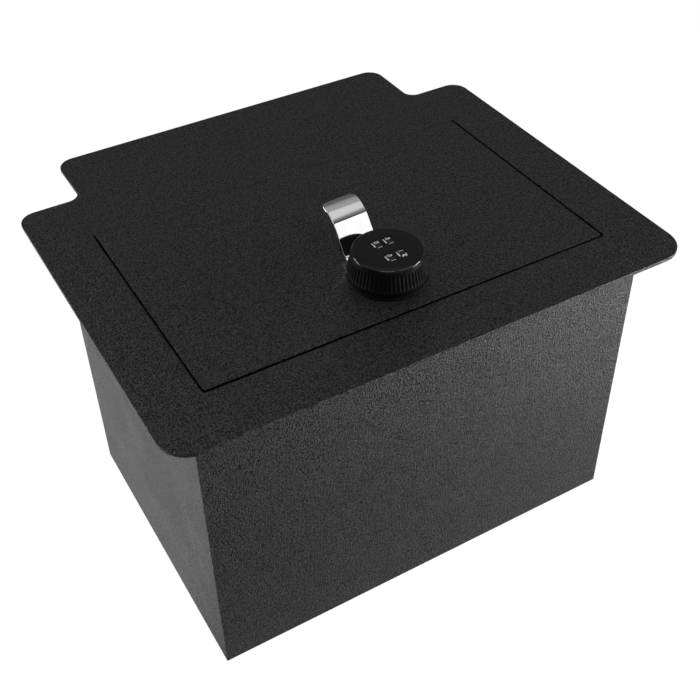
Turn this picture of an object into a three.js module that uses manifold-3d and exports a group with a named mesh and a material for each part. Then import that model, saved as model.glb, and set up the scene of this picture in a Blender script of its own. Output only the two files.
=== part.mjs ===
// A console safe: a welded steel box that hangs in a vehicle's centre console by its wide top plate.
// A flush lid on a hidden piano hinge closes it, and a round code knob turns the cam that locks it.
// Millimetres. +X runs to the right, +Y to the back and +Z up. The origin is on the ground, under
// the middle of the top plate.
import * as THREE from "three";
import { mergeVertices, toCreasedNormals } from "three/addons/utils/BufferGeometryUtils.js";
import Module from "manifold-3d";

// Top plate, with a narrower tongue behind its two wings
const plateThickness = 2.7;
const plateWidth = 380;
const plateDepth = 332;
const tongueWidth = 284;
const wingDepth = 276;
const frontCornerRadius = 21;
const rearCornerRadius = 12.5;
const notchRadius = 9;

// Box under the plate, from the underside of the floor to the top of the plate
const wallThickness = 2.7;
const boxWidth = 334;
const boxDepth = 233;
const boxHeight = 242;
const boxSetback = 24;
const tabHeight = 6.5;
const tabLevel = 149;
const tabReliefHeight = 3.3;
const tabReliefWidth = 1.2;
const floorHoleDiameter = 9;
const floorHoleInset = 40;

// Opening in the plate, and the lid that fills it
const openingInset = 16;
const openingDepth = 185;
const openingSetback = 42;
const openingRadius = 3;
const lidGap = 1.5;
const lidCornerRadius = 2;

// Flat bars under the plate that the lid comes down on
const restThickness = 2.7;
const restProjection = 6;

// Piano hinge: its pin lies this far in front of the lid's rear edge
const hingeSetback = 14;
const hingeInset = 7;
const hingePinDiameter = 3;
const hingePinClearance = 0.15;
const hingeLeafThickness = 1.5;
const lidLeafWidth = 22;
const knuckleCount = 15;
const knuckleGap = 0.4;
const curlAngle = 285;

// Bent channel that carries the hinge and clears the lid's rear edge as it dips
const channelThickness = 2;
const channelBendRadius = 2;
const channelClearance = 1;
const rivetCount = 5;
const rivetInset = 22;
const rivetDiameter = 3.2;
const rivetHeadDiameter = 6.4;
const rivetHeadHeight = 1.1;
const rivetCrownShare = 0.7;

// Lock body: a bezel on the lid and a barrel with two flats through it
const lockSetback = 81;
const bezelHeight = 2.4;
const bezelDiameter = 54.4;
const bezelTopInset = 0.3;
const barrelDiameter = 22;
const barrelFlats = 20;
const barrelLength = 11;
const boreDiameter = 11.6;
const stopSkirtHeight = 2;
const stopRingDiameter = 16.8;
const lockWasherDiameter = 34;
const lockWasherThickness = 1.5;
const lockNutFlats = 30;
const lockNutHeight = 4.5;

// Finger pull: a strip of bright steel clamped under the bezel, a little off square
const pullWidth = 26.6;
const pullThickness = 1.5;
const pullFootLength = 28.9;
const pullFootBendRadius = 3;
const pullLeanAngle = 54;
const pullRise = 18.4;
const pullCurlRadius = 20.4;
const pullCurlAngle = 49;
const pullLip = 3;
const pullCornerRadius = 4;
const pullTurnAngle = 2.7;

// Number wheels, two on each of two axles, and all a little to the right of the knob's axis
const wheelRadius = 7.5;
const wheelWidth = 5;
const wheelProud = 0.2;
const wheelRowGap = 1.4;
const wheelSideGap = 0.5;
const wheelShift = 1.7;
const axleDiameter = 2;
const axleClearance = 0.15;
const axleOverhang = 0.5;
const windowLength = 8;
const windowSideGap = 0.3;

// Frame that carries the wheels inside the knob
const frameFloorThickness = 1;
const frameEndWidth = 2;
const frameMiddleWidth = 2.6;
const frameBossHeight = 2.4;
const frameCornerRadius = 1;

// Knob: a tapered cap with a ribbed grip, over a core that ends in the spindle
const knobDiameter = 54;
const knobTopDiameter = 47.8;
const knobWall = 6;
const knobRoofThickness = 2.2;
const knobEdgeRadius = 0.6;
const knobRimHeight = 0.5;
const knobRunningGap = 0.4;
const ribCount = 60;
const ribLevel = 6.5;
const ribLength = 9;
const ribDepth = 0.6;
const ribCrest = [0.3, 0.7];
const ribBandSink = 3;
const coreThickness = 2.3;
const spindleDiameter = 11;
const spindleSquare = 7.5;
const screwDiameter = 2.5;
const screwHeadDiameter = 4.6;
const screwHeadHeight = 1;
const screwLength = 9;
const screwOffset = 15.2;
const screwBossDiameter = 6;
const screwBossSink = 1;

// Cam and the small parts that hold it on the spindle
const stopWasherThickness = 1.5;
const stopWasherDiameter = 16;
const stopLugReach = 10.4;
const stopLugAngle = 36;
const stopLugPlay = 3;
const camThickness = 3;
const camHubDiameter = 26;
const camReach = 48;
const camTipWidth = 16;
const camTipRadius = 4;
const camTipLength = 16;
const camBendRadius = 3;
const camBendAngle = 45;
const camStrikeGap = 0.6;
const camTravel = 90;
const camWasherDiameter = 13;
const camWasherThickness = 1.2;
const camNutFlats = 10;
const camNutHeight = 5;
const studDiameter = 6;
const studOverhang = 1.5;

// Clearances: between welded faces, between faces that are clamped or rest, and round a fastener
const weldGap = 0.02;
const seatGap = 0.3;
const holeGap = 0.3;
const squareGap = 0.15;

// Places that the pieces share
const plateFront = -plateDepth / 2;
const plateUnder = boxHeight - plateThickness;
const wallTop = plateUnder - weldGap;
const boxFront = plateFront + boxSetback;
const boxBack = boxFront + boxDepth;
const innerFront = boxFront + wallThickness + weldGap;
const innerBack = boxBack - wallThickness - weldGap;
const innerSide = boxWidth / 2 - wallThickness - weldGap;
const openingWidth = boxWidth - 2 * openingInset;
const openingFront = plateFront + openingSetback;
const openingBack = openingFront + openingDepth;
const lidFront = openingFront + lidGap;
const lidBack = openingBack - lidGap;
const restTop = plateUnder - seatGap;
const restUnder = restTop - restThickness;

const hingeLength = openingWidth - 2 * (lidGap + hingeInset);
const knuckleLength = hingeLength / knuckleCount;
const hingeBore = hingePinDiameter / 2 + hingePinClearance;
const knuckleRadius = hingeBore + hingeLeafThickness;
const pinY = lidBack - hingeSetback;
const pinZ = plateUnder - seatGap - knuckleRadius;
const swingRadius = Math.hypot(hingeSetback, boxHeight - pinZ);
const troughBack = pinY + swingRadius + channelClearance;
const troughFront = pinY - knuckleRadius - seatGap;
const troughFloor = pinZ - swingRadius - channelClearance;
const channelLegTop = pinZ - knuckleRadius - seatGap;
const fixedLeafWidth = pinZ - troughFloor - channelBendRadius - seatGap;
const rivetDrop = (knuckleRadius + seatGap + fixedLeafWidth) / 2;

// Heights in the lock are measured from the lid's top face, on the knob's axis
const lockY = plateFront + lockSetback;
const bezelTop = seatGap + bezelHeight;
const lidUnder = -plateThickness;
const lockWasherUnder = lidUnder - seatGap - lockWasherThickness;
const stopWasherTop = -barrelLength - seatGap;
const camTop = -barrelLength - stopSkirtHeight - seatGap;
const camUnder = camTop - camThickness;
const camWasherUnder = camUnder - seatGap - camWasherThickness;
const camNutTop = camWasherUnder - seatGap;
const camNutUnder = camNutTop - camNutHeight;
const camTipTop = restUnder - boxHeight - camStrikeGap;
const coreUnder = bezelTop + knobRunningGap;
const coreTop = coreUnder + coreThickness;
const frameUnder = coreTop + seatGap;
const frameFloor = frameUnder + frameFloorThickness;
const axleLevel = frameFloor + seatGap + wheelRadius;
const knobTop = axleLevel + wheelRadius - wheelProud;
const axleOffset = wheelRadius + wheelRowGap / 2;
const wheelOffset = (frameMiddleWidth + wheelWidth) / 2 + wheelSideGap;
const frameEnd = wheelOffset + wheelWidth / 2 + wheelSideGap;
const cavityRadius = knobDiameter / 2 - knobWall;

const wasm = await Module();
wasm.setup();

const coat = { color: 0x1b1b1c, roughness: 0.72, metalness: 0.1 };
const brightSteel = { color: 0xd8d9da, roughness: 0.08, metalness: 1 };
const plainSteel = { color: 0x8f9193, roughness: 0.38, metalness: 1 };
const glossBlack = { color: 0x0c0c0d, roughness: 0.22, metalness: 0 };
const dieCast = { color: 0x6d6f72, roughness: 0.5, metalness: 1 };

const AXIS_X = new THREE.Vector3(1, 0, 0);
const AXIS_Y = new THREE.Vector3(0, 1, 0);
const AXIS_Z = new THREE.Vector3(0, 0, 1);
const CREASE = THREE.MathUtils.degToRad(35);
const BEND_SAG = 0.03;
const KNOB_SIDES = ribCount;

// An outline with corners [x, y, radius], each rounded by an arc that is tangent to both sides.
function outline(corners) {
  const shape = new THREE.Shape();
  corners.forEach(([x, y, radius = 0], i) => {
    if (!radius) {
      if (i) shape.lineTo(x, y);
      else shape.moveTo(x, y);
      return;
    }
    const corner = new THREE.Vector2(x, y);
    const back = new THREE.Vector2(...corners.at(i - 1)).sub(corner).normalize();
    const ahead = new THREE.Vector2(...corners[(i + 1) % corners.length]).sub(corner).normalize();
    const half = Math.acos(THREE.MathUtils.clamp(back.dot(ahead), -1, 1)) / 2;
    const middle = back.clone().add(ahead).setLength(radius / Math.sin(half)).add(corner);
    const reach = radius / Math.tan(half);
    const from = back.clone().multiplyScalar(reach).add(corner).sub(middle);
    const to = ahead.clone().multiplyScalar(reach).add(corner).sub(middle);
    shape.absarc(middle.x, middle.y, radius, from.angle(), to.angle(), back.cross(ahead) > 0);
  });
  return shape;
}

function rectangle(x0, y0, x1, y1, radius = 0) {
  return outline([
    [x0, y0, radius],
    [x1, y0, radius],
    [x1, y1, radius],
    [x0, y1, radius],
  ]);
}

function circle(x, y, radius) {
  return new THREE.Shape().absarc(x, y, radius, 0, 2 * Math.PI);
}

function hexagon(flats) {
  const reach = flats / Math.sqrt(3);
  const corners = [1, 3, 5, 7, 9, 11].map((twelfth) => {
    const angle = (twelfth * Math.PI) / 6;
    return [reach * Math.cos(angle), reach * Math.sin(angle)];
  });
  return outline(corners);
}

// A circle with two flats that face -X and +X.
function doubleFlat(radius, halfFlats) {
  const edge = Math.acos(halfFlats / radius);
  return new THREE.Shape()
    .absarc(0, 0, radius, edge, Math.PI - edge)
    .absarc(0, 0, radius, Math.PI + edge, 2 * Math.PI - edge);
}

// The section of a sheet bent as on a press brake. It starts at a point on one face and goes along
// a heading in degrees, with its thickness to the left. A run goes straight ahead, or turns through
// an angle (left is positive) with the radius of the inner face.
function bentStrip(thickness, [startX, startY], startHeading, runs) {
  const face = [];
  const otherFace = [];
  const at = new THREE.Vector2(startX, startY);
  let heading = THREE.MathUtils.degToRad(startHeading);
  const mark = () => {
    face.push(at.clone());
    const left = new THREE.Vector2(-Math.sin(heading), Math.cos(heading));
    otherFace.push(left.multiplyScalar(thickness).add(at));
  };
  mark();
  for (const { ahead = 0, turn = 0, radius = 0 } of runs) {
    const widestStep = 2 * Math.acos(1 - (BEND_SAG * thickness) / (radius + thickness));
    const angle = THREE.MathUtils.degToRad(turn);
    const steps = turn ? Math.ceil(Math.abs(angle) / widestStep) : 1;
    const step = angle / steps;
    const faceRadius = turn > 0 ? radius + thickness : radius;
    const chord = turn ? 2 * faceRadius * Math.sin(Math.abs(step) / 2) : ahead;
    for (let i = 0; i < steps; i++) {
      const along = heading + step / 2;
      at.add(new THREE.Vector2(Math.cos(along), Math.sin(along)).multiplyScalar(chord));
      heading += step;
      mark();
    }
  }
  return new THREE.Shape([...face, ...otherFace.reverse()]);
}

// Extrusions: a shape in (x, y) raised along Z, in (y, z) along X, and in (x, z) along Y.
function alongZ(shape, from, to, curveSegments = 6) {
  const settings = { depth: to - from, bevelEnabled: false, curveSegments };
  return new THREE.ExtrudeGeometry(shape, settings).translate(0, 0, from);
}

function alongX(shape, from, to, curveSegments) {
  const turn = new THREE.Matrix4().makeBasis(AXIS_Y, AXIS_Z, AXIS_X);
  return alongZ(shape, from, to, curveSegments).applyMatrix4(turn);
}

function alongY(shape, from, to, curveSegments) {
  const turn = new THREE.Matrix4().makeBasis(AXIS_X, AXIS_Z, AXIS_Y.clone().negate());
  return alongZ(shape, -to, -from, curveSegments).applyMatrix4(turn);
}

// A profile of [radius, z] points turned about the Z axis.
function turned(profile, segments) {
  const points = profile.map(([radius, z]) => new THREE.Vector2(radius, z));
  return new THREE.LatheGeometry(points, segments).rotateX(Math.PI / 2);
}

// A closed geometry as a solid that can be joined and cut.
function solid(geometry) {
  const bare = geometry.clone();
  bare.deleteAttribute("normal");
  bare.deleteAttribute("uv");
  const merged = mergeVertices(bare);
  return new wasm.Manifold(
    new wasm.Mesh({
      numProp: 3,
      vertProperties: merged.attributes.position.array,
      triVerts: new Uint32Array(merged.index.array),
    }),
  );
}

const join = (first, ...others) => others.reduce((sum, other) => sum.add(solid(other)), first);
const cut = (first, ...others) => others.reduce((rest, other) => rest.subtract(solid(other)), first);

function geometryOf(body) {
  const { vertProperties, triVerts } = body.getMesh();
  const geometry = new THREE.BufferGeometry();
  geometry.setAttribute("position", new THREE.BufferAttribute(vertProperties, 3));
  geometry.setIndex(new THREE.BufferAttribute(triVerts, 1));
  return toCreasedNormals(geometry, CREASE);
}

// One named piece in a group, from a geometry or from a cut solid.
function piece(group, name, form, finish) {
  const geometry = form.isBufferGeometry ? form : geometryOf(form);
  const mesh = new THREE.Mesh(geometry, new THREE.MeshStandardMaterial(finish));
  mesh.name = name;
  group.add(mesh);
  return mesh;
}

function group(parent, x, y, z) {
  const made = new THREE.Group();
  made.position.set(x, y, z);
  parent.add(made);
  return made;
}

// Top plate: one laser-cut sheet with the lid's opening
function topPlate() {
  const side = plateWidth / 2;
  const tongue = tongueWidth / 2;
  const wingBack = plateFront + wingDepth;
  const edge = outline([
    [-side, plateFront, frontCornerRadius],
    [side, plateFront, frontCornerRadius],
    [side, wingBack, rearCornerRadius],
    [tongue, wingBack, notchRadius],
    [tongue, -plateFront, rearCornerRadius],
    [-tongue, -plateFront, rearCornerRadius],
    [-tongue, wingBack, notchRadius],
    [-side, wingBack, rearCornerRadius],
  ]);
  edge.holes.push(rectangle(-openingWidth / 2, openingFront, openingWidth / 2, openingBack, openingRadius));
  return alongZ(edge, plateUnder, boxHeight);
}

// Front and rear panels run the full width and are notched for the side panels' tabs. The notch at
// the right has a relief above and below it.
function endPanel(from, to) {
  const side = boxWidth / 2;
  const notch = side - wallThickness - weldGap;
  const relief = side - tabReliefWidth;
  const low = tabLevel - tabHeight / 2 - weldGap;
  const high = tabLevel + tabHeight / 2 + weldGap;
  const edge = outline([
    [-side, 0],
    [side, 0],
    [side, low - tabReliefHeight],
    [relief, low - tabReliefHeight],
    [relief, low],
    [notch, low],
    [notch, high],
    [relief, high],
    [relief, high + tabReliefHeight],
    [side, high + tabReliefHeight],
    [side, wallTop],
    [-side, wallTop],
    [-side, high],
    [-notch, high],
    [-notch, low],
    [-side, low],
  ]);
  return alongY(edge, from, to);
}

// Side panels stand between them, with one tab at each end that comes out flush
function sidePanel(from, to) {
  const low = tabLevel - tabHeight / 2;
  const high = tabLevel + tabHeight / 2;
  const edge = outline([
    [innerFront, 0],
    [innerBack, 0],
    [innerBack, low],
    [boxBack, low],
    [boxBack, high],
    [innerBack, high],
    [innerBack, wallTop],
    [innerFront, wallTop],
    [innerFront, high],
    [boxFront, high],
    [boxFront, low],
    [innerFront, low],
  ]);
  return alongX(edge, from, to);
}

// Floor: let in between the walls, with four holes for the bolts that hold the safe down
function floorPanel() {
  const edge = rectangle(-innerSide, innerFront, innerSide, innerBack);
  for (const x of [-innerSide + floorHoleInset, innerSide - floorHoleInset])
    for (const y of [innerFront + floorHoleInset, innerBack - floorHoleInset])
      edge.holes.push(circle(x, y, floorHoleDiameter / 2));
  return alongZ(edge, 0, wallThickness, 8);
}

// Hinge channel: a flange under the plate's rear lip, and a trough open to the top
function hingeChannel() {
  const bend = channelBendRadius;
  const outerBend = bend + channelThickness;
  const section = bentStrip(channelThickness, [innerBack, restTop], 180, [
    { ahead: innerBack - troughBack - outerBend },
    { turn: 90, radius: bend },
    { ahead: restTop - outerBend - troughFloor - bend },
    { turn: -90, radius: bend },
    { ahead: troughBack - troughFront - 2 * bend },
    { turn: -90, radius: bend },
    { ahead: channelLegTop - troughFloor - bend },
  ]);
  return cut(solid(alongX(section, -innerSide, innerSide)), ...rivetHoles());
}

function rivetPlaces() {
  const first = -hingeLength / 2 + rivetInset;
  const pitch = (hingeLength - 2 * rivetInset) / (rivetCount - 1);
  return Array.from({ length: rivetCount }, (_, i) => first + i * pitch);
}

function rivetHoles() {
  const holeRadius = rivetDiameter / 2 + holeGap;
  const front = troughFront - channelThickness - seatGap;
  return rivetPlaces().map((x) => alongY(circle(x, pinZ - rivetDrop, holeRadius), front, pinY));
}

// Rivet: a shank along +Y with a low domed head at each end, centred on its own origin
function rivet() {
  const head = rivetHeadDiameter / 2;
  const shank = rivetDiameter / 2;
  const grip = channelThickness + hingeLeafThickness + 3 * seatGap;
  const rim = grip / 2 + rivetHeadHeight / 2;
  const top = grip / 2 + rivetHeadHeight;
  return turned(
    [
      [0, -top],
      [head * rivetCrownShare, -top],
      [head, -rim],
      [head, -grip / 2],
      [shank, -grip / 2],
      [shank, grip / 2],
      [head, grip / 2],
      [head, rim],
      [head * rivetCrownShare, top],
      [0, top],
    ],
    12,
  ).rotateX(-Math.PI / 2);
}

// Hinge leaf about the pin's axis: a flat strip whose edge is cut into fingers and curled round the
// pin. The two leaves take every other knuckle, and each is cut back where the other's knuckles turn.
function hingeLeaf(width, heading, parity) {
  const angle = THREE.MathUtils.degToRad(heading);
  const start = new THREE.Vector2(-width, hingeBore).rotateAround(new THREE.Vector2(), angle);
  const flat = bentStrip(hingeLeafThickness, start.toArray(), heading, [
    { ahead: width - knuckleRadius - knuckleGap },
  ]);
  const curled = bentStrip(hingeLeafThickness, start.toArray(), heading, [
    { ahead: width },
    { turn: -curlAngle, radius: hingeBore },
  ]);
  const knuckles = [];
  for (let i = parity; i < knuckleCount; i += 2) {
    const from = (i - knuckleCount / 2) * knuckleLength;
    knuckles.push(alongX(curled, from + knuckleGap / 2, from + knuckleLength - knuckleGap / 2));
  }
  return join(solid(alongX(flat, -hingeLength / 2, hingeLength / 2)), ...knuckles);
}

// Lid: the blank cut out of the plate, with a hole for the lock's barrel
function lidPanel() {
  const side = openingWidth / 2 - lidGap;
  const edge = rectangle(-side, lidFront - lockY, side, lidBack - lockY, lidCornerRadius);
  return cut(solid(alongZ(edge, lidUnder, 0)), barrelHole(lidUnder, 0));
}

function barrelHole(from, to) {
  return alongZ(doubleFlat(barrelDiameter / 2 + holeGap, barrelFlats / 2 + holeGap), from, to, 12);
}

// The finger pull seen from above, from one level to another: a round foot and a straight strip
function pullPlan(gap, reach, from, to) {
  const side = pullWidth / 2 + gap;
  const strip = outline([
    [-side, 0],
    [side, 0],
    [side, reach, pullCornerRadius],
    [-side, reach, pullCornerRadius],
  ]);
  return join(solid(alongZ(strip, from, to)), alongZ(circle(0, 0, side), from, to, 14));
}

// Finger pull: its foot goes round the barrel, then the strip bends up and curls to the back
function fingerPull() {
  const section = bentStrip(pullThickness, [-pullWidth / 2, seatGap], 0, [
    { ahead: pullWidth / 2 + pullFootLength },
    { turn: pullLeanAngle, radius: pullFootBendRadius },
    { ahead: pullRise },
    { turn: -pullCurlAngle, radius: pullCurlRadius },
    { ahead: pullLip },
  ]);
  const { max } = new THREE.Box2().setFromPoints(section.getPoints());
  const strip = solid(alongX(section, -pullWidth / 2, pullWidth / 2));
  const square = strip.intersect(pullPlan(0, max.x, 0, max.y));
  return cut(square.rotate([0, 0, pullTurnAngle]), barrelHole(0, max.y));
}

// Lock body: the bezel is slotted underneath for the pull's foot, and the barrel's end has a part
// ring that stops the lug of the stop washer at each end of the knob's travel
function lockBody() {
  const bezel = bezelDiameter / 2;
  const slotRoof = pullThickness + 2 * seatGap;
  const barrelEnd = -barrelLength - stopSkirtHeight;
  const barrel = doubleFlat(barrelDiameter / 2, barrelFlats / 2);
  const rim = solid(
    turned(
      [
        [0, seatGap],
        [bezel, seatGap],
        [bezel - bezelTopInset, bezelTop],
        [0, bezelTop],
      ],
      KNOB_SIDES,
    ),
  );
  const slot = pullPlan(seatGap, bezelDiameter, 0, slotRoof).rotate([0, 0, pullTurnAngle]);
  const play = THREE.MathUtils.degToRad(stopLugAngle / 2 + stopLugPlay);
  const first = -THREE.MathUtils.degToRad(camTravel) - play;
  const gap = sector(barrelDiameter, first, play);
  return cut(
    join(rim.subtract(slot), alongZ(barrel, barrelEnd, bezelTop, 12)),
    alongZ(circle(0, 0, boreDiameter / 2), barrelEnd, bezelTop, 12),
    alongZ(circle(0, 0, stopRingDiameter / 2), barrelEnd, -barrelLength, 12),
    alongZ(gap, barrelEnd, -barrelLength),
  );
}

function sector(radius, from, to) {
  const start = new THREE.Vector2(radius, 0).rotateAround(new THREE.Vector2(), from);
  return new THREE.Shape().moveTo(0, 0).lineTo(start.x, start.y).absarc(0, 0, radius, from, to);
}

function ring(outer, inner, from, to) {
  const edge = circle(0, 0, outer);
  edge.holes.push(circle(0, 0, inner));
  return alongZ(edge, from, to, 12);
}

function nut(flats, hole, from, to) {
  const edge = hexagon(flats);
  edge.holes.push(circle(0, 0, hole));
  return alongZ(edge, from, to, 12);
}

// Knob core: a disc that closes the cap, the spindle, its square end and the stud for the cam's nut
function knobCore() {
  const disc = cavityRadius - seatGap;
  const spindle = spindleDiameter / 2;
  const stud = studDiameter / 2;
  const studEnd = camNutUnder - studOverhang;
  const body = turned(
    [
      [0, studEnd],
      [stud, studEnd],
      [stud, -barrelLength],
      [spindle, -barrelLength],
      [spindle, coreUnder],
      [disc, coreUnder],
      [disc, coreTop],
      [0, coreTop],
    ],
    48,
  );
  const square = alongZ(squareSection(0), camUnder + seatGap, coreUnder);
  return cut(join(solid(body), square), ...[-screwOffset, screwOffset].flatMap(coreScrewHole));
}

function squareSection(gap) {
  const half = spindleSquare / 2 + gap;
  return rectangle(-half, -half, half, half);
}

function coreScrewHole(x) {
  const headRoof = coreUnder + screwHeadHeight + seatGap;
  return [
    alongZ(circle(x, 0, screwHeadDiameter / 2 + holeGap), coreUnder, headRoof),
    alongZ(circle(x, 0, screwDiameter / 2 + holeGap), coreUnder, coreTop),
  ];
}

// Screw that holds the cap down on the core, from underneath
function knobScrew() {
  const shank = screwDiameter / 2;
  const headTop = coreUnder + screwHeadHeight;
  return turned(
    [
      [0, coreUnder],
      [screwHeadDiameter / 2, coreUnder],
      [screwHeadDiameter / 2, headTop],
      [shank, headTop],
      [shank, headTop + screwLength],
      [0, headTop + screwLength],
    ],
    16,
  );
}

// Knob cap: a moulded cap that tapers up from its skirt, with a band of ribs, two screw bosses inside,
// and a window over each wheel where the wheel's running space comes through the roof
function knobCap() {
  const skirt = knobDiameter / 2;
  const top = knobTopDiameter / 2;
  const roof = knobTop - knobRoofThickness;
  const edge = knobTop - knobEdgeRadius;
  const ribTop = ribLevel + ribLength;
  const ribTopRadius = THREE.MathUtils.lerp(skirt, top, ribLength / (edge - ribLevel));
  const shell = turned(
    [
      [0, roof],
      [cavityRadius, roof],
      [cavityRadius, coreUnder],
      [skirt - knobRimHeight, coreUnder],
      [skirt, coreUnder + knobRimHeight],
      [skirt, ribLevel],
      [skirt - ribDepth, ribLevel],
      [ribTopRadius - ribDepth, ribTop],
      [ribTopRadius, ribTop],
      [top, edge],
      ...arcPoints(3, (t) => [
        top - knobEdgeRadius * (1 - Math.cos((t * Math.PI) / 2)),
        edge + knobEdgeRadius * Math.sin((t * Math.PI) / 2),
      ]),
      [0, knobTop],
    ],
    KNOB_SIDES,
  );
  const bossUnder = coreTop + seatGap;
  const screwEnd = coreUnder + screwHeadHeight + screwLength + seatGap;
  const bosses = [-screwOffset, screwOffset].map((x) =>
    alongZ(circle(x, 0, screwBossDiameter / 2), bossUnder, roof + screwBossSink, 8),
  );
  const bossHoles = [-screwOffset, screwOffset].map((x) =>
    alongZ(circle(x, 0, screwDiameter / 2 + holeGap), bossUnder, screwEnd),
  );
  const ribs = ribBand(skirt, ribTopRadius, ribLevel, ribTop);
  return cut(join(solid(shell), ribs, ...bosses), ...bossHoles, ...wheelPlaces().flatMap(windowCut));
}

function arcPoints(steps, at) {
  return Array.from({ length: steps }, (_, i) => at((i + 1) / steps));
}

// Ribs between two levels, drawn in to a smaller radius at the top
function ribBand(outer, topOuter, from, to) {
  const band = new THREE.Shape(
    Array.from({ length: ribCount }, (_, i) =>
      [0, ...ribCrest].map((share, j) => {
        const angle = ((i + share) / ribCount) * 2 * Math.PI;
        const radius = j ? outer : outer - ribDepth;
        return new THREE.Vector2(radius * Math.cos(angle), radius * Math.sin(angle));
      }),
    ).flat(),
  );
  band.holes.push(circle(0, 0, cavityRadius + ribBandSink));
  const straight = alongZ(band, from, to, KNOB_SIDES / 4);
  const places = straight.attributes.position;
  for (let i = 0; i < places.count; i++) {
    const drawn = THREE.MathUtils.mapLinear(places.getZ(i), from, to, 1, topOuter / outer);
    places.setX(i, places.getX(i) * drawn);
    places.setY(i, places.getY(i) * drawn);
  }
  return straight;
}

function wheelPlaces() {
  const columns = [wheelShift - wheelOffset, wheelShift + wheelOffset];
  return [-axleOffset, axleOffset].flatMap((y) => columns.map((x) => [x, y]));
}

function windowCut([x, y]) {
  const side = wheelWidth / 2 + windowSideGap;
  const half = windowLength / 2;
  return [
    alongX(circle(y, axleLevel, wheelRadius + seatGap), x - side, x + side, 20),
    alongZ(rectangle(x - side, y - half, x + side, y + half), axleLevel, knobTop),
  ];
}

// Wheel frame: a floor with three cheeks that both axles pass through
function wheelFrame() {
  const reach = axleOffset + frameBossHeight;
  const side = frameEnd + frameEndWidth;
  const cheekTop = axleLevel + frameBossHeight;
  const cheek = rectangle(-reach, frameUnder, reach, cheekTop, frameCornerRadius);
  for (const y of [-axleOffset, axleOffset])
    cheek.holes.push(circle(y, axleLevel, axleDiameter / 2 + axleClearance));
  return join(
    solid(alongZ(rectangle(-side, -reach, side, reach), frameUnder, frameFloor)),
    alongX(cheek, -side, -frameEnd),
    alongX(cheek, -frameMiddleWidth / 2, frameMiddleWidth / 2),
    alongX(cheek, frameEnd, side),
  );
}

// Stop washer: a disc on the spindle's square with a lug that runs between the ends of the part ring
function stopWasher() {
  const half = THREE.MathUtils.degToRad(stopLugAngle) / 2;
  const under = stopWasherTop - stopWasherThickness;
  const disc = alongZ(circle(0, 0, stopWasherDiameter / 2), under, stopWasherTop, 12);
  const lug = alongZ(sector(stopLugReach, -half, half), under, stopWasherTop);
  return cut(join(solid(disc), lug), alongZ(squareSection(squareGap), under, stopWasherTop));
}

// Cam: a round hub and a tapered arm, bent up so that its tip runs close under the front bar
function cam() {
  const hub = camHubDiameter / 2;
  const bend = THREE.MathUtils.degToRad(camBendAngle);
  const bentLength = 2 * camBendRadius + camThickness;
  const slope = (camTipTop - camTop - bentLength * (1 - Math.cos(bend))) / Math.sin(bend);
  const stepLength = bentLength * Math.sin(bend) + slope * Math.cos(bend);
  const section = bentStrip(camThickness, [-hub, camUnder], 0, [
    { ahead: hub + camReach - camTipLength - stepLength },
    { turn: camBendAngle, radius: camBendRadius },
    { ahead: slope },
    { turn: -camBendAngle, radius: camBendRadius },
    { ahead: camTipLength },
  ]);
  const arm = outline([
    [0, -hub],
    [camReach, -camTipWidth / 2, camTipRadius],
    [camReach, camTipWidth / 2, camTipRadius],
    [0, hub],
  ]);
  const disc = alongZ(circle(0, 0, hub), camUnder, camTipTop, 10);
  const plan = join(solid(alongZ(arm, camUnder, camTipTop)), disc);
  const strip = solid(alongY(section, -hub, hub)).intersect(plan);
  return cut(strip, alongZ(squareSection(squareGap), camUnder, camTop));
}

function numberWheel() {
  const side = circle(0, 0, wheelRadius);
  side.holes.push(circle(0, 0, axleDiameter / 2 + axleClearance));
  return alongX(side, -wheelWidth / 2, wheelWidth / 2, 20);
}

const safe = new THREE.Group();

// Welded box
piece(safe, "top_plate", topPlate(), coat);
piece(safe, "front_panel", endPanel(boxFront, boxFront + wallThickness), coat);
piece(safe, "rear_panel", endPanel(boxBack - wallThickness, boxBack), coat);
piece(safe, "left_panel", sidePanel(-boxWidth / 2, wallThickness - boxWidth / 2), coat);
piece(safe, "right_panel", sidePanel(boxWidth / 2 - wallThickness, boxWidth / 2), coat);
piece(safe, "floor_panel", floorPanel(), coat);
piece(safe, "hinge_channel", hingeChannel(), coat);

// Rest bars: the front one is also the strike that the cam turns under
const restFrontBack = openingFront + restProjection;
const restSideInner = openingWidth / 2 - restProjection;
const restSideFront = restFrontBack + weldGap;
const restSideBack = troughFront - channelThickness - seatGap;
const restBar = (x0, y0, x1, y1) => alongZ(rectangle(x0, y0, x1, y1), restUnder, restTop);
piece(safe, "lid_rest_front", restBar(-innerSide, innerFront, innerSide, restFrontBack), coat);
piece(safe, "lid_rest_left", restBar(-innerSide, restSideFront, -restSideInner, restSideBack), coat);
piece(safe, "lid_rest_right", restBar(restSideInner, restSideFront, innerSide, restSideBack), coat);

// Hinge, about its pin
const hinge = group(safe, 0, pinY, pinZ);
const pin = circle(0, 0, hingePinDiameter / 2);
const fixedLeaf = cut(
  hingeLeaf(fixedLeafWidth, 90, 0),
  ...rivetHoles().map((hole) => hole.translate(0, -pinY, -pinZ)),
);
piece(hinge, "hinge_fixed_leaf", fixedLeaf, plainSteel);
piece(hinge, "hinge_pin", alongX(pin, -hingeLength / 2, hingeLength / 2, 8), plainSteel);
const rivetY = (troughFront - channelThickness + pinY - hingeBore) / 2;
rivetPlaces().forEach((x, i) => {
  piece(safe, `hinge_rivet_${i + 1}`, rivet(), plainSteel).position.set(x, rivetY, pinZ - rivetDrop);
});

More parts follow.
